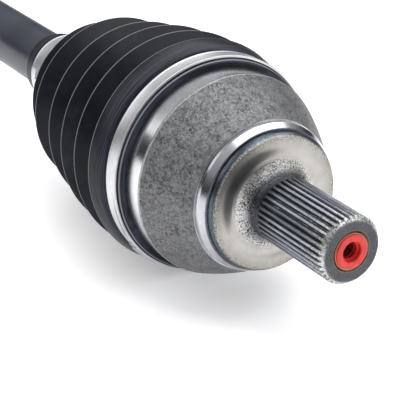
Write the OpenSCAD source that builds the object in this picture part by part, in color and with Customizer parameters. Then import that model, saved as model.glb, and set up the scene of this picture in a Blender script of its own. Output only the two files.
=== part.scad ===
// Drive shaft with a ball joint at the hub end and a plunging tripod joint at the flange end.
// Millimetres. The axle lies along X: the hub end is +X and the centre of the hub shoulder is the origin.

/* [Hub stub] */
// Length of the splined stub from the hub shoulder to its end face
stub_len = 54.5; // [50:0.5:58]
// Diameter over the teeth of the stub spline
stub_spline_d = 30; // [29.6:0.1:30.4]
// Number of teeth on the stub spline
stub_teeth = 36; // [30:1:40]
// Wall radius of the threaded bolt bore in the stub
thread_r = 7.19; // [7:0.01:7.3]
// Radius of the flat hub shoulder
shoulder_r = 30.3; // [29.8:0.1:30.6]

/* [Bell] */
// Radius of the machined band at the mouth of the bell
bell_r = 47.4; // [47:0.1:48]
// Distance from the hub shoulder back to the centre of the ball joint
bell_centre = 52; // [51.5:0.5:52.5]
// Radius of the collar behind the hub shoulder
collar_r = 34.3; // [34:0.1:34.6]

/* [Ball joint inside] */
// Diameter of the six drive balls
ball_d = 18; // [17.6:0.1:18]
// Radius of the circle that the ball centres lie on
ball_pitch_r = 32.5; // [32:0.1:32.6]
// Radius of the cage's outer sphere
cage_r = 36.4; // [36:0.1:36.5]
// Radius of the inner race's sphere
race_r = 28; // [27.8:0.1:28.1]

/* [Shaft] */
// Diameter of the painted bar between the boots
bar_d = 30.4; // [29.6:0.2:31]
// Wall thickness of the hollow bar
bar_wall = 4.5; // [3.5:0.5:6]
// Diameter of the slim necks inside the boots
neck_d = 26; // [24:0.5:26]

/* [Boots] */
// Wall thickness of both rubber boots
boot_wall = 2.2; // [1.8:0.1:2.4]
// Thickness of the steel clamp bands
band_t = 0.9; // [0.7:0.1:1]

/* [Flange joint] */
// Distance from the hub shoulder to the centre of the tripod joint
tripod_dist = 530; // [500:1:600]
// Radius of the flange
flange_r = 54; // [53:0.5:55]
// Pitch circle diameter of the six flange bolts
flange_pcd = 94; // [93:0.5:95]
// Radius of a flange bolt hole
flange_hole_r = 5.25; // [5:0.05:5.5]
// Outer radius of the rollers
roller_r = 16; // [15.5:0.1:16]
// Distance from the joint axis to the middle of each roller
trunnion_r = 25; // [24.8:0.1:25.2]

/* [Hidden] */
$fn = 96;

run = 0.05;                       // radial running clearance
snug = 0.04;                      // gap between pieces that are pressed or seated together
apart = 0.3;                      // gap between curved faces of pieces that move apart

// Ball joint, measured along X from the hub shoulder
ball_x = -bell_centre;
ball_r = ball_d / 2;
ball_sides = 6;
mouth_x = ball_x - 10;
groove_r = ball_r + 1.2;          // lets the balls drift sideways as the joint bends
groove_out = 40;                  // degrees that a track runs outboard of the ball plane
groove_in = 52;                   // degrees that a track runs inboard of it, past the mouth
housing_bore_r = cage_r + apart;
cage_bore_r = race_r + apart;
cage_half = 14;
race_half = 13;
land_x = -35.4;                   // where the machined band meets the rough forging
forging_end_x = -9.6;

// Stub
stub_tip_r = stub_spline_d / 2;
stub_root_r = stub_tip_r - 1.05;
stub_neck_r = stub_root_r + 0.15;
teeth_start = 7.5;
thread_bottom = 4;
thread_top = 41;
plug_bore_r = 8.3;
plug_r = plug_bore_r - 2 * run;
plug_proud = 1.1;
plug_end = thread_top + 1.5;

// Shaft
bar_r = bar_d / 2;
neck_r = neck_d / 2;
bar_x0 = -431;
bar_x1 = -187;
shaft_spline_r = 12.9;
shaft_spline_root = 12.1;
race_teeth = 30;
clip_wire = 0.9;
race_clip_x = ball_x + race_half + clip_wire;
thrust_t = 2.5;
thrust_x = ball_x - race_half - thrust_t;
washer_t = 1.6;
washer_x = thrust_x - washer_t - 0.9;
washer_out_r = 19;
outer_shaft_tip = ball_x + 17.5;

// Outer boot: the folds are [x, crest radius] from the bar to the bell
boot_folds = [[-166, 38], [-148, 44.8], [-124, 48.7], [-103, 52.4], [-85, 54.4], [-69.5, 54.8]];
boot_fold_depth = 7;
boot_seat_r = 51;
boot_neck_r = 19.6;
boot_front_x = -47.4;
boot_small_x = -217;
large_band_x = [-57.3, -49.5];
small_band_x = [-205, -196.5];
bell_groove_r = bell_r - 1;

// Tripod joint, measured along X from the hub shoulder
tripod_x = -tripod_dist;
tulip_r = 43;
tulip_mouth_x = tripod_x + 37;
flange_face_x = tripod_x - 38.5;
flange_t = 12.5;
flange_back_x = flange_face_x + flange_t;
tulip_bore_r = 24;
track_out = 32.2;                 // distance from the axis to the outer wall of a roller track
track_half = roller_r + run;
flute_r = 9;
flute_end_x = tripod_x + 9;
scallop_r = 20;
scallop_depth = 3.5;              // how far each scallop cuts into the rim between two bolts
cover_recess_r = 37;
cover_recess_t = 3;
roller_half = 5.5;
roller_bore_r = 12.8;
ring_out_r = 10.9;
ring_in_r = 9.2;
ring_half = 5.2;
needle_r = 0.9;
needle_half = 3.8;
needles = 36;
trunnion_head_r = 8.5;
trunnion_neck_r = 6.5;
trunnion_top = 29.9;
star_hub_r = 15;
star_half = 11;
star_spline_r = 11.45;
star_spline_root = 10.7;
star_teeth = 26;
inner_seat_r = 46;
inner_band_x = [-508, -500];
inner_small_band_x = [-413, -405];
inner_neck_r = 19.6;
inner_cuff_x = -397;
bellows_folds = [[-487, 46], [-471, 45.6]];
bellows_end_x = -463;             // ring where the sliding bellows meets the bending neck
bellows_end_r = 41;
neck_folds = [[-453, 44.5], [-437, 38], [-424, 29]];
stub_dish_x = -0.9;               // depth of the dish in the hub shoulder
shoulder_flat = 3;                // width of the flat ring around the dish
root_fillet = 7.4;                // radius where the shoulder sweeps up into the stub
cap_steps = 8;

function mix(a, b, t) = a + (b - a) * t;

// ---------- shared shapes ----------

// Solid of revolution about X from [radius, x] points
module turned(points) {
  rotate([0, 90, 0]) rotate_extrude() polygon(points);
}

module along_x(x0, x1, r) {
  translate([x0, 0, 0]) rotate([0, 90, 0]) cylinder(h = x1 - x0, r = r);
}

// Square-section ring about X
module ring_x(x0, x1, r0, r1) {
  turned([[r0, x0], [r1, x0], [r1, x1], [r0, x1]]);
}

// Part of a ring, between two angles counted from +Z towards +Y
module ring_arc(a0, a1, r0, r1, x0, x1) {
  rotate([0, 90, 0])
    rotate([0, 0, 180 - a1])
      rotate_extrude(angle = a1 - a0)
        translate([r0, x0]) square([r1 - r0, x1 - x0]);
}

module wire_ring(x, r, wire) {
  translate([x, 0, 0]) rotate([0, 90, 0])
    rotate_extrude() translate([r, 0]) circle(r = wire, $fn = 32);
}

// Outline of a spline: each tooth is a flat tip between two sloping flanks
function spline_outline(teeth, tip_r, root_r) = [
  for (i = [0 : teeth - 1], corner = [[-0.36, root_r], [-0.17, tip_r], [0.17, tip_r], [0.36, root_r]])
    let (a = (i + corner[0]) * 360 / teeth)
    [corner[1] * cos(a), corner[1] * sin(a)]
];

module spline_x(x0, x1, teeth, tip_r, root_r) {
  translate([x0, 0, 0]) rotate([0, 90, 0])
    linear_extrude(height = x1 - x0) polygon(spline_outline(teeth, tip_r, root_r));
}

// Puts a copy at each of n equal steps about X, starting from +Z
module about_x(n, start = 0) {
  for (i = [0 : n - 1]) rotate([start + i * 360 / n, 0, 0]) children();
}

// Puts a piece drawn at the joint centre, along +Z, onto trunnion number i
module on_trunnion(i) {
  translate([tripod_x, 0, 0]) rotate([(i - 1) * 120, 0, 0]) children();
}

module ring_z(z0, z1, r0, r1) {
  difference() {
    translate([0, 0, z0]) cylinder(h = z1 - z0, r = r1);
    translate([0, 0, z0 - 1]) cylinder(h = z1 - z0 + 2, r = r0);
  }
}

// ---------- ball joint ----------

// Meridian track of a ball, swept about the joint centre in the XZ plane
module ball_track(outboard, inboard) {
  rotate([90, 0, 0]) rotate([0, 0, 90 - outboard])
    rotate_extrude(angle = outboard + inboard) translate([ball_pitch_r, 0]) circle(r = groove_r);
}

// Slightly domed forging between the machined band and the collar
forging = [
  for (i = [0 : cap_steps])
    let (t = i / cap_steps)
    [mix(bell_r, collar_r + 0.6, t) + 0.7 * sin(180 * t), mix(land_x, forging_end_x, t)]
];

// Shallow dish inside the flat ring of the shoulder
shoulder_dish = [
  for (i = [0 : cap_steps])
    let (t = i / cap_steps)
    [mix(shoulder_r - shoulder_flat, stub_neck_r + root_fillet, t), stub_dish_x * (1 - cos(180 * t)) / 2]
];

// Quarter-round sweep from the dished shoulder up to the neck of the stub
root_sweep = [
  for (i = [1 : cap_steps])
    let (a = 90 * i / cap_steps)
    [stub_neck_r + root_fillet * (1 - sin(a)), stub_dish_x + root_fillet * (1 - cos(a))]
];

housing_outline = concat(
  [[0, mouth_x], [bell_r - 1.2, mouth_x], [bell_r - 0.2, mouth_x + 1], [bell_r - 0.2, large_band_x[0]]],
  [[bell_groove_r, large_band_x[0] + 0.6], [bell_groove_r, large_band_x[1]]],
  [[bell_r, large_band_x[1] + 0.6]],
  forging,
  [[collar_r - 0.5, forging_end_x], [collar_r, forging_end_x + 0.5], [collar_r, -7.4]],
  [[collar_r - 1.8, -4.3], [collar_r - 2.6, -4.1], [collar_r - 2.7, -1.6]],
  [[shoulder_r, 0]],
  shoulder_dish,
  root_sweep,
  [[stub_neck_r, teeth_start + 2], [0, teeth_start + 2]]
);

// Envelope that trims the teeth: a run-out at the root and a chamfer at the end
stub_envelope = [
  [0, teeth_start - 1], [stub_root_r - 1.5, teeth_start - 1], [stub_tip_r, teeth_start + 1.6],
  [stub_tip_r, stub_len - 2], [stub_tip_r - 1.8, stub_len], [0, stub_len],
];

module outer_housing() {
  color("darkgray") difference() {
    union() {
      turned(housing_outline);
      intersection() {
        spline_x(teeth_start - 2, stub_len + 1, stub_teeth, stub_tip_r + 0.1, stub_root_r);
        turned(stub_envelope);
      }
    }
    translate([ball_x, 0, 0]) {
      rotate([0, 90, 0]) sphere(r = housing_bore_r);
      about_x(ball_sides) ball_track(groove_out, groove_in);
    }
    turned([[0, mouth_x - 1], [housing_bore_r + 1.6, mouth_x - 1],
            [housing_bore_r - 1.8, mouth_x + 2], [0, mouth_x + 2]]);
    turned([[0, 0], [thread_r, thread_bottom], [thread_r, thread_top], [plug_bore_r, thread_top + 1],
            [plug_bore_r, stub_len - 0.6], [plug_bore_r + 0.7, stub_len + 0.1], [0, stub_len + 0.1]]);
  }
}

module thread_plug() {
  hole_r = 4.5;
  ring_step = 2.2;
  color("red") difference() {
    turned([[0, plug_end], [plug_r - 0.4, plug_end], [plug_r, plug_end + 0.6], [plug_r, stub_len - 0.8],
            [plug_r - 0.25, stub_len - 0.4], [plug_r - 0.25, stub_len + plug_proud - 0.4],
            [plug_r - 0.65, stub_len + plug_proud], [0, stub_len + plug_proud]]);
    along_x(plug_end + 1.2, stub_len + plug_proud + 1, hole_r);
    for (k = [0 : 2])
      translate([plug_end + 3 + k * ring_step, 0, 0]) rotate([0, 90, 0])
        rotate_extrude() translate([hole_r, 0]) circle(r = 0.45, $fn = 24);
  }
}

// Tangential slot with round ends that holds a ball between two flat faces
module cage_window() {
  half = ball_r + run;
  drift = 1.6;
  translate([-half, -drift, 0]) cube([2 * half, 2 * drift, cage_r + 5]);
  for (side = [-1, 1]) translate([0, side * drift, 0]) cylinder(h = cage_r + 5, r = half);
}

module ball_cage() {
  color("dimgray") translate([ball_x, 0, 0]) difference() {
    intersection() {
      sphere(r = cage_r);
      along_x(-cage_half, cage_half, cage_r);
    }
    sphere(r = cage_bore_r);
    about_x(ball_sides) translate([0, 0, 1]) cage_window();
  }
}

module ball(i) {
  color("silver") translate([ball_x, 0, 0])
    rotate([(i - 1) * 360 / ball_sides, 0, 0]) translate([0, 0, ball_pitch_r]) sphere(r = ball_r);
}

module inner_race() {
  color("dimgray") difference() {
    translate([ball_x, 0, 0]) difference() {
      intersection() {
        sphere(r = race_r);
        along_x(-race_half, race_half, race_r);
      }
      about_x(ball_sides) ball_track(groove_in, groove_in);
    }
    spline_x(ball_x - race_half - 1, ball_x + race_half + 1, race_teeth,
             shaft_spline_r + snug, shaft_spline_root + snug);
  }
}

module race_circlip() {
  color("gray") wire_ring(race_clip_x, shaft_spline_r, clip_wire);
}

module thrust_ring() {
  color("ivory") ring_x(thrust_x + snug, thrust_x + thrust_t - snug, shaft_spline_r + snug, 18);
}

// Dished spring washer: a thin cone that presses the race against the circlip
module dished_washer() {
  rim = thrust_x - snug;
  color("lightsteelblue") turned([
    [shaft_spline_r + snug, washer_x], [washer_out_r, rim - washer_t],
    [washer_out_r, rim], [shaft_spline_r + snug, washer_x + washer_t],
  ]);
}

module outer_shaft_end() {
  color("gray") difference() {
    union() {
      spline_x(washer_x - 1, outer_shaft_tip - 1, race_teeth, shaft_spline_r, shaft_spline_root);
      turned([[0, bar_x1], [bar_r, bar_x1], [bar_r, bar_x1 + 3], [neck_r, bar_x1 + 16], [neck_r, -84],
              [neck_r + 1.2, -78], [neck_r + 1.2, washer_x - snug], [0, washer_x - snug]]);
      along_x(washer_x - 1, outer_shaft_tip, shaft_spline_root - 0.6);
    }
    wire_ring(race_clip_x, shaft_spline_r, clip_wire + snug);
    along_x(bar_x1 - 1, bar_x1 + 8, bar_r - bar_wall);
  }
}

module shaft_bar() {
  color("slategray") ring_x(bar_x0, bar_x1, bar_r - bar_wall, bar_r);
}

// ---------- boots and clamps ----------

// Crests joined by V-shaped valleys, as [radius, x] points
function folded(folds, depth) = [
  for (i = [0 : len(folds) - 1], part = [0, 1])
    if (part == 0 || i < len(folds) - 1)
      part == 0
        ? [folds[i][1], folds[i][0]]
        : [min(folds[i][1], folds[i + 1][1]) - depth * min(1, (folds[i + 1][0] - folds[i][0]) / 20),
           (folds[i][0] + folds[i + 1][0]) / 2]
];

function thinned(points) = [for (i = [len(points) - 1 : -1 : 0]) points[i] - [boot_wall, 0]];

module outer_boot() {
  folds = folded(boot_folds, boot_fold_depth);
  inner_folds = thinned(folds);
  color("black") turned(concat(
    [[bar_r + apart, boot_small_x], [bar_r + 2.4, boot_small_x], [bar_r + 3.2, boot_small_x + 0.8]],
    [[bar_r + 3.2, small_band_x[0] - 1.2], [boot_neck_r, small_band_x[0] - 0.6]],
    [[boot_neck_r, small_band_x[1] + 0.6], [boot_neck_r + 1, -193], [25, -182]],
    folds,
    [[52.6, -61], [boot_seat_r + 0.4, large_band_x[0] - 0.6], [boot_seat_r, large_band_x[0] - 0.5]],
    [[boot_seat_r, large_band_x[1] + 0.5], [boot_seat_r - 0.4, large_band_x[1] + 1.2]],
    [[bell_r + 1.6, boot_front_x], [bell_r + snug, boot_front_x], [bell_r + snug, large_band_x[1] + 0.6]],
    [[bell_groove_r + snug, large_band_x[1] + 0.1], [bell_groove_r + snug, large_band_x[0] + 0.7]],
    [[bell_r + snug, large_band_x[0] - 0.1], [bell_r + snug, mouth_x - 1]],
    inner_folds,
    [[22.8, -182.5], [bar_r + 3, -190.5], [bar_r + apart, -194]]
  ));
}

// Steel band with its locked overlap: a slot, a square window, a hook and a stepped tail
module band_clamp(x, r, lock) {
  width = x[1] - x[0];
  top = r + band_t;
  color("silver") difference() {
    union() {
      ring_x(x[0], x[1], r + snug, top);
      ring_arc(lock - 10, lock + 2, top - 0.1, top + band_t, x[0] + 0.8, x[1] - 0.8);
      ring_arc(lock - 16, lock - 13, top - 0.1, top + 0.6, x[0] + width * 0.3, x[1] - width * 0.3);
    }
    ring_arc(lock + 10, lock + 36, r - 1, top + 1, x[1] - 2.4, x[1] - 1.2);
    ring_arc(lock + 3.5, lock + 5.5, r - 1, top + 2, x[0] + width * 0.35, x[1] - width * 0.35);
  }
}

module outer_clamp_large() band_clamp(large_band_x, boot_seat_r, 231);

module outer_clamp_small() band_clamp(small_band_x, boot_neck_r + apart, 291);

module inner_clamp_large() band_clamp(inner_band_x, inner_seat_r, 60);

module inner_clamp_small() band_clamp(inner_small_band_x, inner_neck_r + apart, 110);

// Large end of the inner boot, which shortens and stretches as the joint plunges
module inner_boot_bellows() {
  folds = folded(bellows_folds, boot_fold_depth);
  color("black") turned(concat(
    [[tulip_r + snug, -511.5], [inner_seat_r - 0.6, -511.5], [inner_seat_r, -510.5]],
    [[inner_seat_r, inner_band_x[1] + 1], [44, -494]],
    folds,
    [[bellows_end_r, bellows_end_x], [bellows_end_r - boot_wall, bellows_end_x]],
    thinned(folds),
    [[tulip_r + snug, tulip_mouth_x + 1]]
  ));
}

// Small end of the inner boot, which bends as the joint swings
module inner_boot_neck() {
  folds = folded(neck_folds, boot_fold_depth + 1);
  color("black") turned(concat(
    [[bellows_end_r - boot_wall, bellows_end_x], [bellows_end_r, bellows_end_x]],
    folds,
    [[inner_neck_r + 1, -417], [inner_neck_r, -414], [inner_neck_r, inner_small_band_x[1] + 0.6]],
    [[bar_r + 3.2, inner_small_band_x[1] + 1.2], [bar_r + 3.2, inner_cuff_x - 0.8]],
    [[bar_r + 2.4, inner_cuff_x], [bar_r + apart, inner_cuff_x]],
    [[bar_r + apart, -416], [bar_r + 3, -419]],
    thinned(folds)
  ));
}

// ---------- tripod joint ----------

module inner_shaft_end() {
  shoulder_x = tripod_x + star_half + 1.6;
  color("gray") difference() {
    union() {
      spline_x(tripod_x - star_half - 3, shoulder_x, star_teeth, star_spline_r, star_spline_root);
      turned([[0, shoulder_x], [neck_r, shoulder_x], [neck_r, bar_x0 - 16], [bar_r, bar_x0 - 3],
              [bar_r, bar_x0], [0, bar_x0]]);
    }
    wire_ring(tripod_x - star_half - clip_wire, star_spline_r, clip_wire + snug);
    along_x(bar_x0 - 8, bar_x0 + 1, bar_r - bar_wall);
  }
}

module star_stop_ring() {
  color("silver") ring_x(tripod_x + star_half + snug, tripod_x + star_half + 1.6 - snug,
                         star_spline_r + snug, star_hub_r - 0.4);
}

module star_circlip() {
  color("gray") wire_ring(tripod_x - star_half - clip_wire, star_spline_r, clip_wire);
}

module tripod_star() {
  color("dimgray") difference() {
    union() {
      along_x(tripod_x - star_half, tripod_x + star_half, star_hub_r);
      for (i = [1 : 3]) on_trunnion(i) {
        translate([0, 0, star_hub_r - 3]) cylinder(h = trunnion_r - star_hub_r + 3, r = trunnion_neck_r);
        intersection() {
          translate([0, 0, trunnion_r]) sphere(r = trunnion_head_r);
          translate([0, 0, trunnion_r - 6])
            cylinder(h = trunnion_top - trunnion_r + 6, r = trunnion_head_r + 1);
        }
      }
    }
    spline_x(tripod_x - star_half - 1, tripod_x + star_half + 1, star_teeth,
             star_spline_r + snug, star_spline_root + snug);
  }
}

module trunnion_ring(i) {
  color("silver") on_trunnion(i)
    ring_z(trunnion_r - ring_half, trunnion_r + ring_half, ring_in_r, ring_out_r);
}

module needle_set(i) {
  color("silver") on_trunnion(i) for (k = [0 : needles - 1])
    rotate([0, 0, k * 360 / needles])
      translate([ring_out_r + needle_r + run, 0, trunnion_r - needle_half])
        cylinder(h = 2 * needle_half, r = needle_r, $fn = 24);
}

module roller(i) {
  color("silver") on_trunnion(i)
    ring_z(trunnion_r - roller_half, trunnion_r + roller_half, roller_bore_r, roller_r);
}

// The two snap rings that keep the needles inside a roller
module roller_clips(i) {
  color("gray") on_trunnion(i) for (side = [-1, 1]) {
    middle = trunnion_r + side * (needle_half + 0.7);
    ring_z(middle - 0.4, middle + 0.4, ring_out_r + 3 * run, roller_bore_r - snug / 2);
  }
}

housing_shell = [
  [0, flange_face_x], [flange_r - 0.8, flange_face_x], [flange_r, flange_face_x + 0.8],
  [flange_r, flange_back_x - 0.8], [flange_r - 0.8, flange_back_x], [tulip_r + 1.5, flange_back_x],
  [tulip_r, flange_back_x + 1.5], [tulip_r, inner_band_x[0] - 0.6], [tulip_r - 0.8, inner_band_x[0]],
  [tulip_r - 0.8, inner_band_x[1]], [tulip_r, inner_band_x[1] + 0.6], [tulip_r, tulip_mouth_x - 1],
  [tulip_r - 1, tulip_mouth_x], [0, tulip_mouth_x],
];

module inner_housing() {
  color("gray") difference() {
    turned(housing_shell);
    along_x(flange_face_x - 1, tulip_mouth_x + 1, tulip_bore_r);
    turned([[0, tulip_mouth_x - 22], [tulip_bore_r, tulip_mouth_x - 22],
            [33, tulip_mouth_x + 1], [0, tulip_mouth_x + 1]]);
    along_x(flange_face_x - 1, flange_face_x + cover_recess_t, cover_recess_r);
    about_x(3) translate([flange_face_x + 1, -track_half, 0]) cube([80, 2 * track_half, track_out]);
    about_x(6) translate([0, 0, flange_r - scallop_depth + scallop_r])
      along_x(flange_face_x - 1, flange_back_x + 1, scallop_r);
    about_x(6, 30) translate([0, 0, flange_pcd / 2]) {
      along_x(flange_face_x - 1, flange_back_x + 1, flange_hole_r);
      along_x(flange_back_x, flute_end_x, flute_r);
      translate([flute_end_x, 0, 0]) sphere(r = flute_r);
    }
  }
}

// Pressed sheet cover that closes the flange end of the tulip
module end_cover() {
  rim = flange_face_x + 0.5;
  sheet = 1.2;
  color("goldenrod") turned([
    [0, rim + 0.4], [22, rim + 0.4], [24, rim + 1.2], [35.2, rim + 1.2], [35.2, rim], [36.6, rim],
    [36.6, rim + 1.2 + sheet], [23.6, rim + 1.2 + sheet], [21.6, rim + 0.4 + sheet], [0, rim + 0.4 + sheet],
  ]);
}

module cover_seal() {
  color("black") ring_x(flange_face_x + 0.9, flange_face_x + 2.6, 36.6 + snug, cover_recess_r - snug);
}

outer_housing();
thread_plug();
outer_boot();
outer_clamp_large();
outer_clamp_small();
ball_cage();
ball(1);  // ball_1
ball(2);  // ball_2
ball(3);  // ball_3
ball(4);  // ball_4
ball(5);  // ball_5
ball(6);  // ball_6
inner_race();
race_circlip();
thrust_ring();
dished_washer();
outer_shaft_end();
shaft_bar();
inner_shaft_end();
tripod_star();
star_circlip();
star_stop_ring();
trunnion_ring(1);  // trunnion_ring_1
trunnion_ring(2);  // trunnion_ring_2
trunnion_ring(3);  // trunnion_ring_3
needle_set(1);  // needles_1
needle_set(2);  // needles_2
needle_set(3);  // needles_3
roller(1);  // roller_1
roller(2);  // roller_2
roller(3);  // roller_3
roller_clips(1);  // roller_clips_1
roller_clips(2);  // roller_clips_2
roller_clips(3);  // roller_clips_3
inner_housing();
end_cover();
cover_seal();
inner_boot_bellows();
inner_boot_neck();
inner_clamp_large();
inner_clamp_small();
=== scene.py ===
# CV axle: its finishes, rubber boots and clamps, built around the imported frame.
# Metres in Blender, millimetres in the tables below. The axle lies along X, and the splined hub end is +X.
import math

import bmesh
import bpy
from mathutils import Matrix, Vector


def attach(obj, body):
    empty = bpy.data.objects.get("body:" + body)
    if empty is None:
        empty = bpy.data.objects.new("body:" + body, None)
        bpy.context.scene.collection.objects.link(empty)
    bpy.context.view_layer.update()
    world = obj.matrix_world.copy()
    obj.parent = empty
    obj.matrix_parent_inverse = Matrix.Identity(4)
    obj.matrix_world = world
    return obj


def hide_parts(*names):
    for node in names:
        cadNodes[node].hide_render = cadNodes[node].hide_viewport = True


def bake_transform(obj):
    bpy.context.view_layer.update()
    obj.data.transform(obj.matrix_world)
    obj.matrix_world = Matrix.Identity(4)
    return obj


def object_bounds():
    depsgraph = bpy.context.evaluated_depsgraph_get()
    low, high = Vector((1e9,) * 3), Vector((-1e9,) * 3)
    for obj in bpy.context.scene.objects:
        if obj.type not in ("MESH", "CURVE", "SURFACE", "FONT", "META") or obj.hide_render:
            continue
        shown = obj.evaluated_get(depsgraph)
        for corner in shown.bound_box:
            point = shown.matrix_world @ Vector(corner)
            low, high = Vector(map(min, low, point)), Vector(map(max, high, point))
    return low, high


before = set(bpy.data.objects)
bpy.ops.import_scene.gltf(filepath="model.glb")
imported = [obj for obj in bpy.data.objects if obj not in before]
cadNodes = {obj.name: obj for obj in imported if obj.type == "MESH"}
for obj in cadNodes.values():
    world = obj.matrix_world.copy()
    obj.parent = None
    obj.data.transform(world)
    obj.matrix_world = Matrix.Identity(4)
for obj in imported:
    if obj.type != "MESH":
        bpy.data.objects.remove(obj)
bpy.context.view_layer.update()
mm = 0.001
print("frame loaded:", len(cadNodes), "nodes")



def hexToLinear(code):
    parts = [int(code[i:i + 2], 16) / 255 for i in (1, 3, 5)]
    return [p / 12.92 if p <= 0.04045 else ((p + 0.055) / 1.055) ** 2.4 for p in parts] + [1.0]


def perMetre(sizeMm):  # texture scale for a pattern of that real size
    return 1 / (sizeMm * mm)


def addNode(tree, kind, settings=None, links=None):
    node = tree.nodes.new(kind)
    for name, value in (settings or {}).items():
        if name == "stops":  # a colour ramp's stops: (position, colour)
            elements = node.color_ramp.elements
            while len(elements) > 1:
                elements.remove(elements[-1])
            for i, (position, colour) in enumerate(value):
                element = elements[0] if i == 0 else elements.new(position)
                element.position = position
                element.color = hexToLinear(colour) if isinstance(colour, str) else colour
        elif isinstance(name, str) and hasattr(node, name):
            setattr(node, name, value)
        else:
            node.inputs[name].default_value = hexToLinear(value) if isinstance(value, str) else value
    for socket, source in (links or {}).items():
        tree.links.new(source, node.inputs[socket])
    return node


def newMaterial(name, surface):
    material = bpy.data.materials.new(name)
    material.use_nodes = True
    tree = material.node_tree
    shader = tree.nodes["Principled BSDF"]
    for socket, value in surface.items():
        shader.inputs[socket].default_value = hexToLinear(value) if isinstance(value, str) else value
    return material, tree, shader


def finishWith(piece, material):
    piece.data.materials.clear()
    piece.data.materials.append(material)


def rounded(corners, arcSteps=5):
    # outline corners (x, radius, cut): each corner is eased over its cut distance on both sides
    points = []
    for i, (x, r, cut) in enumerate(corners):
        here = Vector((x, r))
        back = Vector(corners[i - 1][:2]) - here
        ahead = Vector(corners[(i + 1) % len(corners)][:2]) - here
        reach = min(cut, 0.48 * back.length, 0.48 * ahead.length)
        if reach <= 0:
            points.append(here)
            continue
        start = here + back.normalized() * reach
        end = here + ahead.normalized() * reach
        for s in range(arcSteps + 1):
            t = s / arcSteps
            points.append(start * (1 - t) ** 2 + here * 2 * t * (1 - t) + end * t * t)
    return points


def turnOutline(name, outline, steps=240, crests=()):
    # a closed outline of (x, radius) in millimetres, turned about the axle
    verts, faces, crestHighlightShare = [], [], []
    for x, r in outline:
        # how near each ring lies to a fold crest, which the rubber uses to paint a highlight on the crests
        near = max([math.exp(-((x - cx) ** 2 + (r - cr) ** 2) / 0.5) for cx, cr in crests], default=0)
        for k in range(steps):
            angle = 2 * math.pi * k / steps
            verts.append((x * mm, r * mm * math.sin(angle), r * mm * math.cos(angle)))
            crestHighlightShare.append(near)
    rings = len(outline)
    for i in range(rings):
        for k in range(steps):
            a, b = i * steps + k, i * steps + (k + 1) % steps
            c, d = ((i + 1) % rings) * steps + (k + 1) % steps, ((i + 1) % rings) * steps + k
            faces.append((a, b, c, d))
    mesh = bpy.data.meshes.new(name)
    mesh.from_pydata(verts, [], faces)
    mesh.attributes.new("restPlace", "FLOAT_VECTOR", "POINT").data.foreach_set(
        "vector", [value for vert in verts for value in vert])
    mesh.attributes.new("crestHighlightShare", "FLOAT", "POINT").data.foreach_set("value", crestHighlightShare)
    tidyMesh(mesh)
    return place(name, mesh)


def tidyMesh(mesh, sharpAngle=40):
    work = bmesh.new()
    work.from_mesh(mesh)
    bmesh.ops.remove_doubles(work, verts=work.verts, dist=1e-7)
    bmesh.ops.recalc_face_normals(work, faces=work.faces)
    work.to_mesh(mesh)
    work.free()
    mesh.shade_smooth()
    mesh.set_sharp_from_angle(angle=math.radians(sharpAngle))


def place(name, mesh):
    piece = bpy.data.objects.new(name, mesh)
    bpy.context.scene.collection.objects.link(piece)
    return piece



def axialPattern(tree, source, alongMm, acrossMm, detail=3):
    # marks that run round the axle: fine along X, long round it
    stretch = addNode(tree, "ShaderNodeMapping",
                      {"Scale": (perMetre(alongMm), perMetre(acrossMm), perMetre(acrossMm))}, {"Vector": source})
    return addNode(tree, "ShaderNodeTexNoise", {"Scale": 1.0, "Detail": detail, "Roughness": 0.6},
                   {"Vector": stretch.outputs["Vector"]})


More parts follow.
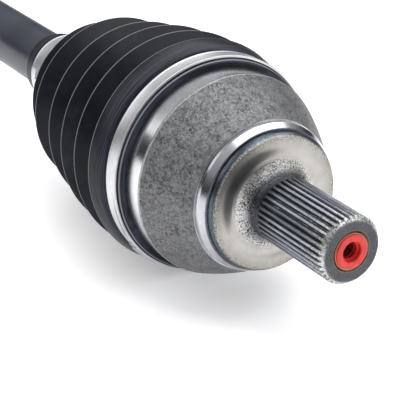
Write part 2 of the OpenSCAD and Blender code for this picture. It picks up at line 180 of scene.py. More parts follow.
# stations along the housing's skin: its x less its radius, in millimetres, rises from mouth to stub tip
housingFinish = {
    "from": -110.0, "to": 50.0,
    "zones": [  # start station, colour, speck colour, (roughness, grain, speck amount)
        (-110.0, "#c2c3c6", "#9fa0a4", (0.16, 0.00, 0.06)),   # machined land
        (-83.6, "#cfd0d2", "#a6a7aa", (0.18, 0.02, 0.15)),
        (-82.9, "#eeeff0", "#b9babc", (0.30, 0.35, 0.40)),    # painted highlight line along the land's edge
        (-82.3, "#8a8b8c", "#353537", (0.46, 1.00, 1.00)),    # shot-blasted forging
        (-45.2, "#88898b", "#38383b", (0.44, 1.00, 0.95)),
        (-44.6, "#46474b", "#2c2d31", (0.45, 0.30, 0.30)),    # dark root of the collar
        (-44.2, "#f2f2f4", "#c5c5c8", (0.20, 0.00, 0.08)),    # painted highlight along the collar's rear edge
        (-43.4, "#b9babe", "#96979c", (0.19, 0.00, 0.10)),    # ground collar
        (-37.2, "#b2b3b8", "#8e8f95", (0.20, 0.00, 0.15)),
        (-36.8, "#5d5158", "#3b363c", (0.35, 0.05, 0.30)),    # brown-purple line
        (-36.2, "#4a525b", "#282d34", (0.25, 0.05, 0.50)),    # blue-steel band
        (-31.9, "#5b636b", "#2c3036", (0.30, 0.10, 0.70)),
        (-31.2, "#a6a49e", "#454541", (0.40, 0.35, 1.00)),    # worn rim
        (-29.2, "#a7a49d", "#6b6963", (0.38, 0.12, 0.75)),
        (-27.0, "#a19e99", "#85827d", (0.33, 0.04, 0.20)),    # dished face
        (-24.5, "#aca8a3", "#94908c", (0.30, 0.02, 0.12)),
        (-21.8, "#a9a6a2", "#7b7976", (0.30, 0.05, 0.25)),
        (-19.6, "#cfcdc9", "#2a2a2b", (0.28, 0.20, 0.90)),    # scorched sweep
        (-15.0, "#acacac", "#0e0f12", (0.36, 0.40, 1.00)),
        (-11.5, "#595b61", "#14151a", (0.42, 0.30, 0.90)),
        (-7.6, "#6d7179", "#2a2d34", (0.34, 0.10, 0.75)),     # spline
        (0.0, "#9297a1", "#595d67", (0.32, 0.06, 0.45)),
        (25.0, "#989ca5", "#5c5f68", (0.32, 0.10, 0.50)),
        (32.0, "#b8babf", "#4c4e55", (0.32, 0.20, 0.90)),     # scuffed last stretch
        (38.2, "#cacbca", "#585956", (0.36, 0.35, 0.95)),     # mottled end chamfer
        (40.7, "#c2c3c2", "#565755", (0.38, 0.35, 0.95)),
        (41.5, "#55575b", "#3a3b3f", (0.44, 0.10, 0.70)),     # flat end face
        (45.3, "#55575b", "#3a3b3f", (0.44, 0.10, 0.70)),
        (45.7, "#86705c", "#54422f", (0.50, 0.20, 0.60)),     # brown oil line round the plug
        (50.0, "#58453b", "#352a25", (0.50, 0.20, 0.60)),
    ],
    "grainMm": 0.7, "gritMm": 0.95, "patchMm": 6.0, "raggedMm": 0.45, "scuffMm": (7.0, 0.5),
    # the groove colour and share paint shade into the spline grooves, darkest at the tooth roots
    "toothRootMm": 14.15, "toothTipMm": 14.92, "grooveShadeColour": "#23252c", "grooveShadeShare": 0.92,
    "boreMm": 8.2, "boreColour": "#4b4a4b",
}


def machinedForging():
    # forged carbon steel, shot-blasted, then turned and induction-hardened:
    # grey sparkling grain beside mirror-bright bands, straw and blue heat tints by the stub
    f = housingFinish
    material, tree, shader = newMaterial("MachinedForging", {"Metallic": 1.0, "Roughness": 0.35})
    local = addNode(tree, "ShaderNodeTexCoord").outputs["Object"]
    axes = addNode(tree, "ShaderNodeSeparateXYZ", links={"Vector": local}).outputs
    flat = addNode(tree, "ShaderNodeCombineXYZ", {"X": 0.0}, {"Y": axes["Y"], "Z": axes["Z"]})
    radius = addNode(tree, "ShaderNodeVectorMath", {"operation": "LENGTH"}, {0: flat.outputs[0]}).outputs["Value"]
    station = addNode(tree, "ShaderNodeMath", {"operation": "SUBTRACT"}, {0: axes["X"], 1: radius})
    grain = addNode(tree, "ShaderNodeTexNoise",
                    {"Scale": perMetre(f["grainMm"]), "Detail": 3.0, "Roughness": 0.7}, {"Vector": local})
    grit = addNode(tree, "ShaderNodeTexVoronoi", {"Scale": perMetre(f["gritMm"])}, {"Vector": local})
    grainTone = addNode(tree, "ShaderNodeSeparateColor", links={"Color": grit.outputs["Color"]}).outputs["Red"]
    patches = addNode(tree, "ShaderNodeTexNoise",
                      {"Scale": perMetre(f["patchMm"]), "Detail": 4.0, "Roughness": 0.6}, {"Vector": local})
    ragged = addNode(tree, "ShaderNodeMath", {"operation": "MULTIPLY_ADD", 1: 2 * f["raggedMm"] * mm,
                                              2: -f["raggedMm"] * mm}, {0: grain.outputs["Fac"]})
    worn = addNode(tree, "ShaderNodeMath", {"operation": "ADD"}, {0: station.outputs[0], 1: ragged.outputs[0]})
    share = addNode(tree, "ShaderNodeMapRange", {"From Min": f["from"] * mm, "From Max": f["to"] * mm},
                    {"Value": worn.outputs[0]}).outputs["Result"]
    reach = f["to"] - f["from"]
    at = [(z[0] - f["from"]) / reach for z in f["zones"]]
    zones = f["zones"]
    mainTone = addNode(tree, "ShaderNodeValToRGB", {"stops": [(p, z[1]) for p, z in zip(at, zones)]}, {"Fac": share})
    speckTone = addNode(tree, "ShaderNodeValToRGB", {"stops": [(p, z[2]) for p, z in zip(at, zones)]}, {"Fac": share})
    amounts = addNode(tree, "ShaderNodeValToRGB",
                      {"stops": [(p, (*z[3], 1.0)) for p, z in zip(at, zones)]}, {"Fac": share})
    amount = addNode(tree, "ShaderNodeSeparateColor", links={"Color": amounts.outputs["Color"]}).outputs
    # separate crystals on the forging, an even fine grain on the machined parts
    fine = addNode(tree, "ShaderNodeMapRange", {"From Min": 0.46, "From Max": 0.57}, {"Value": grain.outputs["Fac"]})
    onForging = addNode(tree, "ShaderNodeMapRange", {"From Min": 0.5, "From Max": 0.8, "To Max": 0.65},
                        {"Value": amount["Green"]})
    speck = addNode(tree, "ShaderNodeMix", {"data_type": "FLOAT"},
                    {"Factor": onForging.outputs["Result"], 2: fine.outputs["Result"], 3: grainTone})
    cloudy = addNode(tree, "ShaderNodeMapRange", {"From Min": 0.36, "From Max": 0.56, "To Min": 0.65, "To Max": 1.0},
                     {"Value": patches.outputs["Fac"]})
    speckHere = addNode(tree, "ShaderNodeMath", {"operation": "MULTIPLY"},
                        {0: speck.outputs[0], 1: cloudy.outputs["Result"]})
    speckShare = addNode(tree, "ShaderNodeMath", {"operation": "MULTIPLY"}, {0: speckHere.outputs[0], 1: amount["Blue"]})
    tone = addNode(tree, "ShaderNodeMix", {"data_type": "RGBA"},
                   {"Factor": speckShare.outputs[0], 6: mainTone.outputs["Color"], 7: speckTone.outputs["Color"]})
    shade = addNode(tree, "ShaderNodeMapRange", {"From Min": 0.3, "From Max": 0.7, "To Min": 1.06, "To Max": 0.92},
                    {"Value": patches.outputs["Fac"]})
    patched = addNode(tree, "ShaderNodeVectorMath", {"operation": "SCALE"},
                      {0: tone.outputs[2], "Scale": shade.outputs["Result"]})
    # painted shade: the grooves between the teeth darken towards the tooth roots, only along the stub, with scuffs
    # drawn along it
    depth = addNode(tree, "ShaderNodeMapRange", {"From Min": f["toothTipMm"] * mm, "From Max": f["toothRootMm"] * mm,
                                                 "To Max": f["grooveShadeShare"]}, {"Value": radius})
    onStub = addNode(tree, "ShaderNodeMapRange", {"From Min": 0.0065, "From Max": 0.0085}, {"Value": axes["X"]})
    beforeChamfer = addNode(tree, "ShaderNodeMapRange", {"From Min": 0.0530, "From Max": 0.0505}, {"Value": axes["X"]})
    outside = addNode(tree, "ShaderNodeMapRange", {"From Min": 0.0128, "From Max": 0.0132}, {"Value": radius})
    scuffLong, scuffWide = f["scuffMm"]
    scuffFrame = addNode(tree, "ShaderNodeMapping", {"Scale": (perMetre(scuffLong), perMetre(scuffWide),
                                                               perMetre(scuffWide))}, {"Vector": local})
    scuffs = addNode(tree, "ShaderNodeTexNoise", {"Scale": 1.0, "Detail": 3.0, "Roughness": 0.65},
                     {"Vector": scuffFrame.outputs["Vector"]})
    groove = depth.outputs["Result"]
    for mask in (onStub, beforeChamfer, outside):
        groove = addNode(tree, "ShaderNodeMath", {"operation": "MULTIPLY"}, {0: groove, 1: mask.outputs["Result"]}).outputs[0]
    grooveShaded = addNode(tree, "ShaderNodeMix", {"data_type": "RGBA", 7: f["grooveShadeColour"]},
                      {"Factor": groove, 6: patched.outputs[0]})
    scuffed = addNode(tree, "ShaderNodeMapRange", {"From Min": 0.58, "From Max": 0.68, "To Max": 0.5},
                      {"Value": scuffs.outputs["Fac"]}).outputs["Result"]
    for mask in (onStub, outside):
        scuffed = addNode(tree, "ShaderNodeMath", {"operation": "MULTIPLY"}, {0: scuffed, 1: mask.outputs["Result"]}).outputs[0]
    rubbed = addNode(tree, "ShaderNodeMix", {"data_type": "RGBA", 7: "#c9ccd4"}, {"Factor": scuffed, 6: grooveShaded.outputs[2]})
    inBore = addNode(tree, "ShaderNodeMapRange", {"From Min": f["boreMm"] * mm, "From Max": (f["boreMm"] - 0.3) * mm},
                     {"Value": radius})
    nearStub = addNode(tree, "ShaderNodeMath", {"operation": "GREATER_THAN", 1: -0.001}, {0: axes["X"]})
    bored = addNode(tree, "ShaderNodeMath", {"operation": "MULTIPLY"}, {0: inBore.outputs["Result"], 1: nearStub.outputs[0]})
    full = addNode(tree, "ShaderNodeMix", {"data_type": "RGBA", 7: f["boreColour"]},
                   {"Factor": bored.outputs[0], 6: rubbed.outputs[2]})
    tree.links.new(full.outputs[2], shader.inputs["Base Color"])
    lathe = axialPattern(tree, local, 0.14, 14)
    streak = addNode(tree, "ShaderNodeMath", {"operation": "MULTIPLY_ADD", 1: 0.14, 2: -0.07},
                     {0: lathe.outputs["Fac"]})
    gloss = addNode(tree, "ShaderNodeMath", {"operation": "ADD"}, {0: amount["Red"], 1: streak.outputs[0]})
    tree.links.new(gloss.outputs[0], shader.inputs["Roughness"])
    peened = addNode(tree, "ShaderNodeMath", {"operation": "MULTIPLY_ADD", 1: 0.5},
                     {0: grainTone, 2: grain.outputs["Fac"]})
    relief = addNode(tree, "ShaderNodeMath", {"operation": "MULTIPLY"}, {0: peened.outputs[0], 1: amount["Green"]})
    gritBump = addNode(tree, "ShaderNodeBump", {"Strength": 1.0, "Distance": 0.0005}, {"Height": relief.outputs[0]})
    latheBump = addNode(tree, "ShaderNodeBump", {"Strength": 0.04, "Distance": 0.00005},
                        {"Height": lathe.outputs["Fac"], "Normal": gritBump.outputs["Normal"]})
    tree.links.new(latheBump.outputs["Normal"], shader.inputs["Normal"])
    return material


def steelFinish(name, tones, roughness, grainMm=1.2, grain=0.15, specks=0.5, strokes=(0.2, 10), strokeBump=0.08):
    # worked steel: two tones broken up by grain, with turning or drawing marks round the axle
    material, tree, shader = newMaterial(name, {"Metallic": 1.0, "Roughness": roughness})
    local = addNode(tree, "ShaderNodeTexCoord").outputs["Object"]
    noise = addNode(tree, "ShaderNodeTexNoise", {"Scale": perMetre(grainMm), "Detail": 4.0, "Roughness": 0.6},
                    {"Vector": local})
    patches = addNode(tree, "ShaderNodeTexNoise", {"Scale": perMetre(grainMm * 9), "Detail": 2.0}, {"Vector": local})
    marks = axialPattern(tree, local, *strokes)
    mixed = addNode(tree, "ShaderNodeMath", {"operation": "MULTIPLY_ADD", 1: specks, 2: 0.25 - specks / 2},
                    {0: noise.outputs["Fac"]})
    both = addNode(tree, "ShaderNodeMath", {"operation": "MULTIPLY_ADD", 1: 0.5}, {0: patches.outputs["Fac"], 2: mixed.outputs[0]})
    tone = addNode(tree, "ShaderNodeValToRGB", {"stops": [(0.3, tones[0]), (0.7, tones[1])]}, {"Fac": both.outputs[0]})
    tree.links.new(tone.outputs["Color"], shader.inputs["Base Color"])
    gloss = addNode(tree, "ShaderNodeMapRange", {"From Min": 0.3, "From Max": 0.7, "To Min": roughness - 0.06,
                                                 "To Max": roughness + 0.08}, {"Value": marks.outputs["Fac"]})
    tree.links.new(gloss.outputs["Result"], shader.inputs["Roughness"])
    gritBump = addNode(tree, "ShaderNodeBump", {"Strength": grain, "Distance": 0.0003}, {"Height": noise.outputs["Fac"]})
    strokeRelief = addNode(tree, "ShaderNodeBump", {"Strength": strokeBump, "Distance": 0.00005},
                           {"Height": marks.outputs["Fac"], "Normal": gritBump.outputs["Normal"]})
    tree.links.new(strokeRelief.outputs["Normal"], shader.inputs["Normal"])
    return material


def mouldedRubber(name, bends):
    # moulded chloroprene rubber: deep black satin with a faint blue sheen, with a painted highlight along each fold's
    # sharp crest and a painted slate sheen with streaks at the hub boot's clamped ends
    material, tree, shader = newMaterial(name, {"Roughness": 0.4, "IOR": 1.52, "Specular IOR Level": 0.12})
    rest = addNode(tree, "ShaderNodeAttribute", {"attribute_name": "restPlace"}).outputs["Vector"]
    if not bends:
        rest = addNode(tree, "ShaderNodeTexCoord").outputs["Object"]
    crest = addNode(tree, "ShaderNodeAttribute", {"attribute_name": "crestHighlightShare"}).outputs["Fac"]
    bloom = addNode(tree, "ShaderNodeTexNoise", {"Scale": perMetre(14), "Detail": 5.0, "Roughness": 0.6}, {"Vector": rest})
    dust = addNode(tree, "ShaderNodeTexNoise", {"Scale": perMetre(0.6), "Detail": 2.0}, {"Vector": rest})
    marks = axialPattern(tree, rest, 0.45, 26, 4)
    black = addNode(tree, "ShaderNodeValToRGB", {"stops": [(0.32, "#101217"), (0.55, "#181a20"), (0.75, "#252932")]},
                    {"Fac": bloom.outputs["Fac"]})
    rubbedMarks = addNode(tree, "ShaderNodeMapRange", {"From Min": 0.58, "From Max": 0.74, "To Max": 0.35},
                          {"Value": marks.outputs["Fac"]})
    scuffed = addNode(tree, "ShaderNodeMix", {"data_type": "RGBA", 7: "#1d2027"},
                      {"Factor": rubbedMarks.outputs["Result"], 6: black.outputs["Color"]})
    along = addNode(tree, "ShaderNodeSeparateXYZ", links={"Vector": rest}).outputs["X"]
    # painted sheen: lighter slate streaks laid on the shoulder beside the big clamp and on the small cuff
    stretch = [addNode(tree, "ShaderNodeMapRange", {"From Min": low, "From Max": high, "To Max": share}, {"Value": along})
               for low, high, share in ((-0.0675, -0.0635, 0.85), (-0.192, -0.196, 0.6))]
    onHubBoot = addNode(tree, "ShaderNodeMath", {"operation": "GREATER_THAN", 1: -0.25}, {0: along})
    cuff = addNode(tree, "ShaderNodeMath", {"operation": "MULTIPLY"}, {0: stretch[1].outputs[0], 1: onHubBoot.outputs[0]})
    sheenEnds = addNode(tree, "ShaderNodeMath", {"operation": "MAXIMUM"}, {0: stretch[0].outputs[0], 1: cuff.outputs[0]})
    paintedSheen = addNode(tree, "ShaderNodeValToRGB", {"stops": [(0.42, "#181a20"), (0.62, "#3b3f4a")]}, {"Fac": marks.outputs["Fac"]})
    sheened = addNode(tree, "ShaderNodeMix", {"data_type": "RGBA"},
                     {"Factor": sheenEnds.outputs[0], 6: scuffed.outputs[2], 7: paintedSheen.outputs["Color"]})
    # painted highlight: a pale line along each fold's crest
    edge = addNode(tree, "ShaderNodeMapRange", {"From Min": 0.35, "From Max": 0.95, "To Max": 0.9}, {"Value": crest})
    crestHighlighted = addNode(tree, "ShaderNodeMix", {"data_type": "RGBA", 7: "#888c96"}, {"Factor": edge.outputs[0], 6: sheened.outputs[2]})
    specks = addNode(tree, "ShaderNodeMapRange", {"From Min": 0.70, "From Max": 0.78, "To Max": 0.3}, {"Value": dust.outputs["Fac"]})
    dusty = addNode(tree, "ShaderNodeMix", {"data_type": "RGBA", 7: "#5b5e66"}, {"Factor": specks.outputs["Result"], 6: crestHighlighted.outputs[2]})
    tree.links.new(dusty.outputs[2], shader.inputs["Base Color"])
    gloss = addNode(tree, "ShaderNodeMapRange", {"From Min": 0.3, "From Max": 0.7, "To Min": 0.27, "To Max": 0.46},
                    {"Value": bloom.outputs["Fac"]})
    tree.links.new(gloss.outputs["Result"], shader.inputs["Roughness"])
    skin = addNode(tree, "ShaderNodeBump", {"Strength": 0.16, "Distance": 0.0002}, {"Height": marks.outputs["Fac"]})
    fine = addNode(tree, "ShaderNodeBump", {"Strength": 0.08, "Distance": 0.0001},
                   {"Height": dust.outputs["Fac"], "Normal": skin.outputs["Normal"]})
    tree.links.new(fine.outputs["Normal"], shader.inputs["Normal"])
    return material


def barPaint():
    # semi-gloss stoving paint on drawn tube: slate grey with a slight orange peel
    material, tree, shader = newMaterial("StovedSlatePaint", {"Roughness": 0.3, "IOR": 1.5, "Specular IOR Level": 0.3})
    local = addNode(tree, "ShaderNodeTexCoord").outputs["Object"]
    peel = addNode(tree, "ShaderNodeTexNoise", {"Scale": perMetre(2.2), "Detail": 2.0}, {"Vector": local})
    drift = addNode(tree, "ShaderNodeTexNoise", {"Scale": perMetre(45), "Detail": 3.0}, {"Vector": local})
    tone = addNode(tree, "ShaderNodeValToRGB", {"stops": [(0.35, "#2c2f38"), (0.65, "#3a3d47")]}, {"Fac": drift.outputs["Fac"]})
    tree.links.new(tone.outputs["Color"], shader.inputs["Base Color"])
    gloss = addNode(tree, "ShaderNodeMapRange", {"From Min": 0.3, "From Max": 0.7, "To Min": 0.26, "To Max": 0.4},
                    {"Value": drift.outputs["Fac"]})
    tree.links.new(gloss.outputs["Result"], shader.inputs["Roughness"])
    bump = addNode(tree, "ShaderNodeBump", {"Strength": 0.12, "Distance": 0.0003}, {"Height": peel.outputs["Fac"]})
    tree.links.new(bump.outputs["Normal"], shader.inputs["Normal"])
    return material


def plugPlastic():
    # injection-moulded LDPE: soft saturated red with a waxy face, darker down its hole as painted shade
    material, tree, shader = newMaterial("RedPolyethylene", {"Roughness": 0.42, "IOR": 1.51})
    local = addNode(tree, "ShaderNodeTexCoord").outputs["Object"]
    cloud = addNode(tree, "ShaderNodeTexNoise", {"Scale": perMetre(3), "Detail": 3.0}, {"Vector": local})
    tone = addNode(tree, "ShaderNodeValToRGB", {"stops": [(0.35, "#c51d1c"), (0.65, "#dc2f2c")]}, {"Fac": cloud.outputs["Fac"]})
    along = addNode(tree, "ShaderNodeSeparateXYZ", links={"Vector": local}).outputs["X"]
    # painted shade: the red darkens deeper into the hole
    deep = addNode(tree, "ShaderNodeMapRange", {"From Min": 0.0531, "From Max": 0.0505}, {"Value": along})
    holeShade = addNode(tree, "ShaderNodeMix", {"data_type": "RGBA", 7: "#7c1715"}, {"Factor": deep.outputs["Result"],
                                                                                 6: tone.outputs["Color"]})
    axes = addNode(tree, "ShaderNodeSeparateXYZ", links={"Vector": local}).outputs
    flat = addNode(tree, "ShaderNodeCombineXYZ", {"X": 0.0}, {"Y": axes["Y"], "Z": axes["Z"]})
    radius = addNode(tree, "ShaderNodeVectorMath", {"operation": "LENGTH"}, {0: flat.outputs[0]}).outputs["Value"]
    skirt = addNode(tree, "ShaderNodeMapRange", {"From Min": 0.00755, "From Max": 0.00765}, {"Value": radius})
    atFace = addNode(tree, "ShaderNodeMath", {"operation": "GREATER_THAN", 1: 0.0540}, {0: axes["X"]})
    oilLine = addNode(tree, "ShaderNodeMath", {"operation": "MULTIPLY"}, {0: skirt.outputs["Result"], 1: atFace.outputs[0]})
    oiled = addNode(tree, "ShaderNodeMix", {"data_type": "RGBA", 7: "#8a745c"}, {"Factor": oilLine.outputs[0],
                                                                                 6: holeShade.outputs[2]})
    tree.links.new(oiled.outputs[2], shader.inputs["Base Color"])
    gloss = addNode(tree, "ShaderNodeMapRange", {"From Min": 0.3, "From Max": 0.7, "To Min": 0.36, "To Max": 0.5},
                    {"Value": cloud.outputs["Fac"]})
    tree.links.new(gloss.outputs["Result"], shader.inputs["Roughness"])
    bump = addNode(tree, "ShaderNodeBump", {"Strength": 0.08, "Distance": 0.0002}, {"Height": cloud.outputs["Fac"]})
    tree.links.new(bump.outputs["Normal"], shader.inputs["Normal"])
    return material


def naturalNylon():
    # turned cast nylon: creamy white, slightly cloudy
    material, tree, shader = newMaterial("NaturalNylon", {"Roughness": 0.4, "IOR": 1.53})
    local = addNode(tree, "ShaderNodeTexCoord").outputs["Object"]
    cloud = addNode(tree, "ShaderNodeTexNoise", {"Scale": perMetre(4), "Detail": 3.0}, {"Vector": local})
    tone = addNode(tree, "ShaderNodeValToRGB", {"stops": [(0.35, "#d8d0b8"), (0.65, "#e6dfca")]}, {"Fac": cloud.outputs["Fac"]})
    tree.links.new(tone.outputs["Color"], shader.inputs["Base Color"])
    bump = addNode(tree, "ShaderNodeBump", {"Strength": 0.1, "Distance": 0.0001}, {"Height": cloud.outputs["Fac"]})
    tree.links.new(bump.outputs["Normal"], shader.inputs["Normal"])
    return material


forgedSteel = machinedForging()
rubber = mouldedRubber("MouldedChloroprene", True)
sealRubber = mouldedRubber("MouldedNitrile", False)
paint = barPaint()
redPlastic = plugPlastic()
nylon = naturalNylon()
clampSteel = steelFinish("RolledStainlessStrip", ("#b7b8bb", "#dadbdc"), 0.36, 1.0, 0.03, 0.2, (0.12, 18), 0.08)
tulipSteel = steelFinish("ForgedTulipSteel", ("#58585b", "#909093"), 0.45, 0.8, 0.5, 0.9, (0.3, 8), 0.05)
groundSteel = steelFinish("GroundHardenedSteel", ("#8d8e92", "#b5b6ba"), 0.22, 1.5, 0.03, 0.4, (0.1, 6), 0.06)
bearingSteel = steelFinish("PolishedBearingSteel", ("#b8b9bc", "#d5d6d8"), 0.1, 2.0, 0.01, 0.3, (0.15, 9), 0.02)
springSteel = steelFinish("BluedSpringSteel", ("#3f424a", "#6a6d75"), 0.3, 1.0, 0.08, 0.5, (0.2, 6), 0.05)
phosphatedSteel = steelFinish("PhosphatedSteel", ("#37373a", "#55565a"), 0.5, 0.6, 0.3, 0.8, (0.3, 5), 0.05)
zincSheet = steelFinish("YellowZincSheet", ("#a08d5c", "#c2b588"), 0.28, 3.0, 0.04, 0.6, (0.4, 12), 0.04)
print("finishes made")

nodeFinish = {
    "outer_housing": forgedSteel,
    "shaft_bar": paint,
    "outer_shaft_end": phosphatedSteel,
    "inner_shaft_end": phosphatedSteel,
    "inner_race": groundSteel,
    "ball_cage": phosphatedSteel,
    "tripod_star": groundSteel,
    "race_circlip": springSteel,
    "dished_washer": springSteel,
    "star_circlip": springSteel,
    "star_stop_ring": springSteel,
    "thrust_ring": nylon,
    "inner_housing": tulipSteel,
    "end_cover": zincSheet,
    "cover_seal": sealRubber,
}
for i in range(1, 7):
    nodeFinish[f"ball_{i}"] = bearingSteel
for i in range(1, 4):
    nodeFinish[f"trunnion_ring_{i}"] = groundSteel
    nodeFinish[f"needles_{i}"] = bearingSteel
    nodeFinish[f"roller_{i}"] = bearingSteel
    nodeFinish[f"roller_clips_{i}"] = springSteel
for name, material in nodeFinish.items():
    finishWith(cadNodes[name], material)



def foldLine(folds, depth, crestCut, valleyCut):
    # crests (x, radius) with a valley half way between each two
    corners = []
    for i, (x, r) in enumerate(folds):
        corners.append((x, r, crestCut))
        if i + 1 < len(folds):
            nextX, nextR = folds[i + 1]
            dip = depth * min(1, abs(nextX - x) / 20)
            corners.append(((x + nextX) / 2, min(r, nextR) - dip, valleyCut))
    return corners


def bootSolid(name, outer, inner, crests):
    return turnOutline(name, rounded(outer + inner[::-1]), crests=crests)


hubBoot = {
    "folds": [(-183, 26), (-166, 38), (-148, 44.8), (-124, 48.7), (-103, 52.4), (-85, 54.4), (-69.5, 54.8)],
    "depth": 11.0, "wall": 2.2, "crestCut": 0.8, "valleyCut": 2.6,
    "bar": 15.25, "bell": 47.42, "groove": 46.45,
    "bendFrom": (-0.190, 0, 0), "bendTo": (-0.066, 0, 0),
}


def makeHubBoot():
    b = hubBoot
    folds = foldLine(b["folds"], b["depth"], b["crestCut"], b["valleyCut"])
    smallCuff = [(-217, b["bar"], 0), (-217, 18.0, 0.5), (-215.8, 18.4, 0.6), (-208.2, 18.4, 0.5), (-207.4, 19.3, 0.4),
                 (-206.0, 19.3, 0.3), (-205.4, 19.62, 0.3), (-196.1, 19.62, 0.2), (-195.6, 20.7, 0.5), (-193.4, 20.9, 1.0),
                 (-189.5, 20.4, 1.2)]
    shoulder = [(-64.0, 53.9, 3.5), (-59.6, 52.3, 1.2), (-58.6, 50.3, 0.6), (-57.5, 50.4, 0.4), (-57.2, 51.0, 0.2),
                (-49.4, 51.0, 0.2), (-49.1, 50.2, 0.3), (-48.4, 50.4, 0.5), (-47.5, 49.2, 0.7), (-47.4, b["bell"], 0.1)]
    inside = [(x, r - b["wall"] - (0.3 if cut == b["crestCut"] else 0), cut) for x, r, cut in folds]
    lining = [(-194, b["bar"], 0.3), (-190.5, 17.6, 1.5)] + inside + [(-63.2, b["bell"], 0.5), (-57.6, b["bell"], 0.1),
              (-57.0, b["groove"], 0.1), (-49.8, b["groove"], 0.1), (-49.2, b["bell"], 0.1)]
    boot = bootSolid("hub_boot", smallCuff + folds + shoulder, lining, b["folds"] + [(-48.3, 50.4)])
    finishWith(boot, rubber)
    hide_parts("outer_boot")
    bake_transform(boot)


flangeBoot = {
    "bellowsFolds": [(-487, 46), (-471, 45.6)],
    "neckFolds": [(-453, 44.5), (-437, 38), (-424, 29)],
    "depth": 7.5, "wall": 2.2, "crestCut": 0.9, "valleyCut": 2.0,
    "ring": -463, "ringRadius": 41.0, "seat": 43.04, "bar": 15.25,
}


def makeBellows():
    b = flangeBoot
    folds = foldLine(b["bellowsFolds"], b["depth"], b["crestCut"], b["valleyCut"])
    inside = [(x, r - b["wall"], cut) for x, r, cut in folds]
    outer = [(-511.5, 45.2, 0.6), (-509.2, 46.6, 0.5), (-508.3, 46.6, 0.3), (-508.0, 46.0, 0.2), (-500.0, 46.0, 0.2),
             (-499.6, 46.9, 0.4), (-498.4, 46.9, 0.6), (-494, 44.4, 2.0)] + folds + [(b["ring"], b["ringRadius"], 0)]
    lining = [(-511.5, b["seat"], 0.2), (-492.2, b["seat"], 0.4)] + inside + [(b["ring"], b["ringRadius"] - b["wall"], 0)]
    bellows = bootSolid("flange_boot_bellows", outer, lining, b["bellowsFolds"])
    finishWith(bellows, rubber)
    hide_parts("inner_boot_bellows")
    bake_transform(bellows)


def makeNeck():
    b = flangeBoot
    folds = foldLine(b["neckFolds"], b["depth"] + 1, b["crestCut"], b["valleyCut"])
    inside = [(x, r - b["wall"], cut) for x, r, cut in folds]
    outer = [(b["ring"], b["ringRadius"], 0)] + folds + [
        (-417.5, 20.9, 1.2), (-414.2, 20.6, 0.5), (-413.4, 19.62, 0.2), (-404.8, 19.62, 0.2), (-404.2, 19.3, 0.3),
        (-402.8, 19.3, 0.4), (-402.0, 18.4, 0.5), (-398.2, 18.4, 0.6), (-397, 18.0, 0.5)]
    lining = [(b["ring"], b["ringRadius"] - b["wall"], 0)] + inside + [(-419.5, 18.5, 1.2), (-416, b["bar"], 0.3),
                                                                   (-397, b["bar"], 0)]
    neck = bootSolid("flange_boot_neck", outer, lining, b["neckFolds"])
    finishWith(neck, rubber)
    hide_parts("inner_boot_neck")
    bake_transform(neck)


makeHubBoot()
makeBellows()
makeNeck()
print("boots made")



def arcBlock(name, fromDeg, toDeg, lowR, highR, lowX, highX, taper=0.0):
    # a block bent round the axle, angles counted from +Z towards +Y; taper narrows its far end
    steps = max(6, int(abs(toDeg - fromDeg) * 1.5))
    verts, faces = [], []
    middle, half = (lowX + highX) / 2, (highX - lowX) / 2
    for k in range(steps + 1):
        t = k / steps
        angle = math.radians(fromDeg + (toDeg - fromDeg) * t)
        width = half * (1 - taper * t ** 1.5)
        for x, r in ((middle - width, lowR), (middle + width, lowR), (middle + width, highR), (middle - width, highR)):
            verts.append((x * mm, r * mm * math.sin(angle), r * mm * math.cos(angle)))
    for k in range(steps):
        for s in range(4):
            a, b = 4 * k + s, 4 * k + (s + 1) % 4
            faces.append((a, b, b + 4, a + 4))
    faces += [(0, 1, 2, 3), tuple(4 * steps + s for s in (3, 2, 1, 0))]
    mesh = bpy.data.meshes.new(name)
    mesh.from_pydata(verts, [], faces)
    tidyMesh(mesh)
    return place(name, mesh)


def joined(name, base, cutters, additions):
    # cuts and welds one after another, then keeps only the finished mesh
    for tool, operation in [(c, "DIFFERENCE") for c in cutters] + [(a, "UNION") for a in additions]:
        step = base.modifiers.new(operation.lower(), "BOOLEAN")
        step.object = tool
        step.operation = operation
        step.solver = "EXACT"
    bpy.context.view_layer.update()
    done = bpy.data.meshes.new_from_object(base.evaluated_get(bpy.context.evaluated_depsgraph_get()))
    for piece in [base] + cutters + additions:
        bpy.data.objects.remove(piece)
    done.name = name
    tidyMesh(done, 35)
    return place(name, done)


clampBands = {
    "outer_clamp_large": {"body": "outer_hub", "x": (-57.2, -49.4), "seat": 51.0, "lock": 231, "slit": 27},
    "outer_clamp_small": {"body": "shaft", "x": (-205.1, -196.4), "seat": 19.6, "lock": 291, "slit": 0},
    "inner_clamp_large": {"body": "inner_hub", "x": (-508.1, -499.9), "seat": 46.0, "lock": 60, "slit": 27},
    "inner_clamp_small": {"body": "shaft", "x": (-413.3, -404.9), "seat": 19.6, "lock": 110, "slit": 0},
}
bandThick = 0.85
beadHeight = 0.14


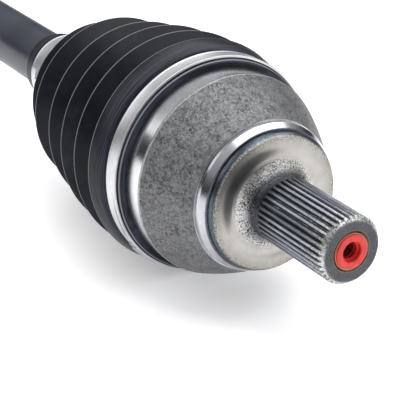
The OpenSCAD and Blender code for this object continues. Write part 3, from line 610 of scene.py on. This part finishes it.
def makeClamp(node, c):
    lowX, highX = c["x"]
    seat, top = c["seat"] - 0.02, c["seat"] + bandThick
    bead = top + beadHeight
    width = highX - lowX
    scale = 50 / seat  # the lock keeps its length on a smaller band
    band = turnOutline(node + "_band", rounded([
        (lowX, seat, 0.1), (lowX, bead, 0.2), (lowX + 0.8, bead, 0.3), (lowX + 1.1, top, 0.3),
        (highX - 1.1, top, 0.3), (highX - 0.8, bead, 0.3), (highX, bead, 0.2), (highX, seat, 0.1)], 3))
    lock = c["lock"]
    cuts, parts = [], []
    if c["slit"]:  # the wide bands have a tapered slit, a window and the hook that shows in it
        cuts = [arcBlock("slit", lock + 8, lock + 8 + c["slit"], seat - 1, bead + 1,
                         highX - 0.32 * width, highX - 0.16 * width, 0.9),
                arcBlock("window", lock + 3.3, lock + 4.9, seat - 1, bead + 1, lowX + 0.36 * width, lowX + 0.62 * width)]
        parts = [arcBlock("tongue", lock + 1.5, lock - 16, top - 0.3, top + 0.65, lowX + 0.9, highX - 0.9, 0.45),
                 arcBlock("hook", lock + 3.0, lock + 3.5, top - 0.3, top + 0.7, lowX + 0.38 * width, lowX + 0.60 * width)]
    parts.append(arcBlock("hump", lock - 1 * scale, lock - 7 * scale, top - 0.3, top + 1.15, lowX + 1.6, highX - 1.6, 0.3))
    clamp = joined(node + "_strip", band, cuts, parts)
    soften = clamp.modifiers.new("soften", "BEVEL")
    soften.width = 0.00012
    soften.segments = 2
    soften.limit_method = "ANGLE"
    soften.angle_limit = math.radians(50)
    finishWith(clamp, clampSteel)
    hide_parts(node)
    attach(clamp, c["body"])


for node, values in clampBands.items():
    makeClamp(node, values)
print("clamps made")



plug = {"stem": 8.1, "head": 7.5, "mouth": 4.4, "hole": 3.7, "ledge": 53.0, "tip": 55.1, "face": 54.5, "foot": 42.5,
        "ringStep": 1.9}


def makePlug():
    p = plug
    wall = []
    for k in range(4):  # moulded rings inside the blind hole
        x = p["foot"] + 2.6 + k * p["ringStep"]
        wall += [(x - 0.45, p["hole"], 0.1), (x, p["hole"] - 0.4, 0.2), (x + 0.45, p["hole"], 0.1)]
    outline = [(p["foot"], 0, 0), (p["foot"], p["stem"] - 0.5, 0.3), (p["foot"] + 0.6, p["stem"], 0.3),
               (p["face"] - 0.1, p["stem"], 0.15), (p["face"] - 0.1, p["head"], 0.05), (p["tip"] - 0.1, p["head"], 0.45),
               (p["tip"], p["head"] - 0.8, 0.4), (p["tip"], p["mouth"] + 0.3, 0.2), (p["tip"] - 0.4, p["mouth"], 0.2),
               (p["ledge"], p["mouth"], 0.2), (p["ledge"], p["hole"], 0.2)]
    outline += wall[::-1] + [(p["foot"] + 1.3, p["hole"], 0.4), (p["foot"] + 1.3, 0, 0)]
    piece = turnOutline("red_plug", rounded(outline, 4), steps=128)
    finishWith(piece, redPlastic)
    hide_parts("thread_plug")
    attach(piece, "plug")


thread = {"wall": 7.22, "crest": 6.75, "pitch": 1.5, "from": 5.0, "to": 40.5, "steps": 48}


def makeThread():
    t = thread
    turns = (t["to"] - t["from"]) / t["pitch"]
    count = int(turns * t["steps"])
    verts, faces = [], []
    for k in range(count + 1):
        angle = 2 * math.pi * k / t["steps"]
        x = t["from"] + t["pitch"] * k / t["steps"]
        fade = min(1, k / t["steps"], (count - k) / t["steps"])  # the first and last turn run out
        crest = t["wall"] - (t["wall"] - t["crest"]) * fade
        for dx, r in ((-0.6, t["wall"]), (-0.12, crest), (0.12, crest), (0.6, t["wall"])):
            verts.append(((x + dx) * mm, r * mm * math.sin(angle), r * mm * math.cos(angle)))
    for k in range(count):
        for s in range(4):
            a, b = 4 * k + s, 4 * k + (s + 1) % 4
            faces.append((a, b, b + 4, a + 4))
    faces += [(0, 1, 2, 3), tuple(4 * count + s for s in (3, 2, 1, 0))]
    mesh = bpy.data.meshes.new("bolt_thread")
    mesh.from_pydata(verts, [], faces)
    tidyMesh(mesh)
    ridge = place("bolt_thread", mesh)
    finishWith(ridge, groundSteel)
    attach(ridge, "outer_hub")


makePlug()
makeThread()
print("plug and thread made")



studio = {
    "floorColour": "#f2f2f3", "floorGlow": 0.33, "floorRadius": 4.0,
    "lamps": {
        "overhead": {"place": (-0.16, 0.30, 1.15), "size": 1.6, "power": 22.0},
        "leftBank": {"place": (-0.85, -1.0, 1.05), "size": 1.3, "power": 7.0},
        "rightBank": {"place": (1.0, 1.0, 0.6), "size": 1.0, "power": 5.0},
    },
    "sky": [(0.0, "#ffffff"), (0.44, "#dededf"), (0.485, "#232427"), (0.56, "#2a2b2e"), (0.64, "#7d7d80"), (0.74, "#d0d0d2"),
            (1.0, "#ffffff")],
    "skyStrength": 0.74,
}
viewer = {"place": (0.4523, -0.3074, 0.2440), "looks": (-0.785, 0.4682, -0.4056), "lens": 125.8}


def makeStudio():
    floorMesh = bpy.data.meshes.new("floor")
    reach = studio["floorRadius"]
    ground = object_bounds()[0].z - 0.0001
    floorMesh.from_pydata([(-reach, -reach, ground), (reach, -reach, ground), (reach, reach, ground), (-reach, reach, ground)],
                          [], [(0, 1, 2, 3)])
    floor = place("floor", floorMesh)
    material, tree, shader = newMaterial("MattWhiteSweep", {
        "Base Color": studio["floorColour"], "Roughness": 0.9, "Specular IOR Level": 0.1,
        "Emission Color": "#ffffff", "Emission Strength": studio["floorGlow"]})
    finishWith(floor, material)
    for name, box in studio["lamps"].items():
        data = bpy.data.lights.new(name, "AREA")
        data.shape = "SQUARE"
        data.size = box["size"]
        data.energy = box["power"]
        lamp = bpy.data.objects.new(name, data)
        bpy.context.scene.collection.objects.link(lamp)
        lamp.location = box["place"]
        lamp.rotation_euler = (-lamp.location).to_track_quat("-Z", "Y").to_euler()
    world = bpy.data.worlds.new("tent")
    bpy.context.scene.world = world
    world.use_nodes = True
    tree = world.node_tree
    way = addNode(tree, "ShaderNodeTexCoord").outputs["Generated"]
    height = addNode(tree, "ShaderNodeSeparateXYZ", links={"Vector": way}).outputs["Z"]
    share = addNode(tree, "ShaderNodeMapRange", {"From Min": -1.0, "From Max": 1.0}, {"Value": height})
    sky = addNode(tree, "ShaderNodeValToRGB", {"stops": studio["sky"]}, {"Fac": share.outputs["Result"]})
    background = tree.nodes["Background"]
    tree.links.new(sky.outputs["Color"], background.inputs["Color"])
    background.inputs["Strength"].default_value = studio["skyStrength"]
    bpy.context.scene.view_settings.view_transform = "Standard"


def makeCamera():
    data = bpy.data.cameras.new("camera")
    data.sensor_width = 36
    data.lens = viewer["lens"]
    data.clip_start = 0.01
    camera = bpy.data.objects.new("camera", data)
    bpy.context.scene.collection.objects.link(camera)
    camera.location = viewer["place"]
    camera.rotation_euler = Vector(viewer["looks"]).to_track_quat("-Z", "Y").to_euler()
    bpy.context.scene.camera = camera


makeStudio()
makeCamera()

print("studio ready")
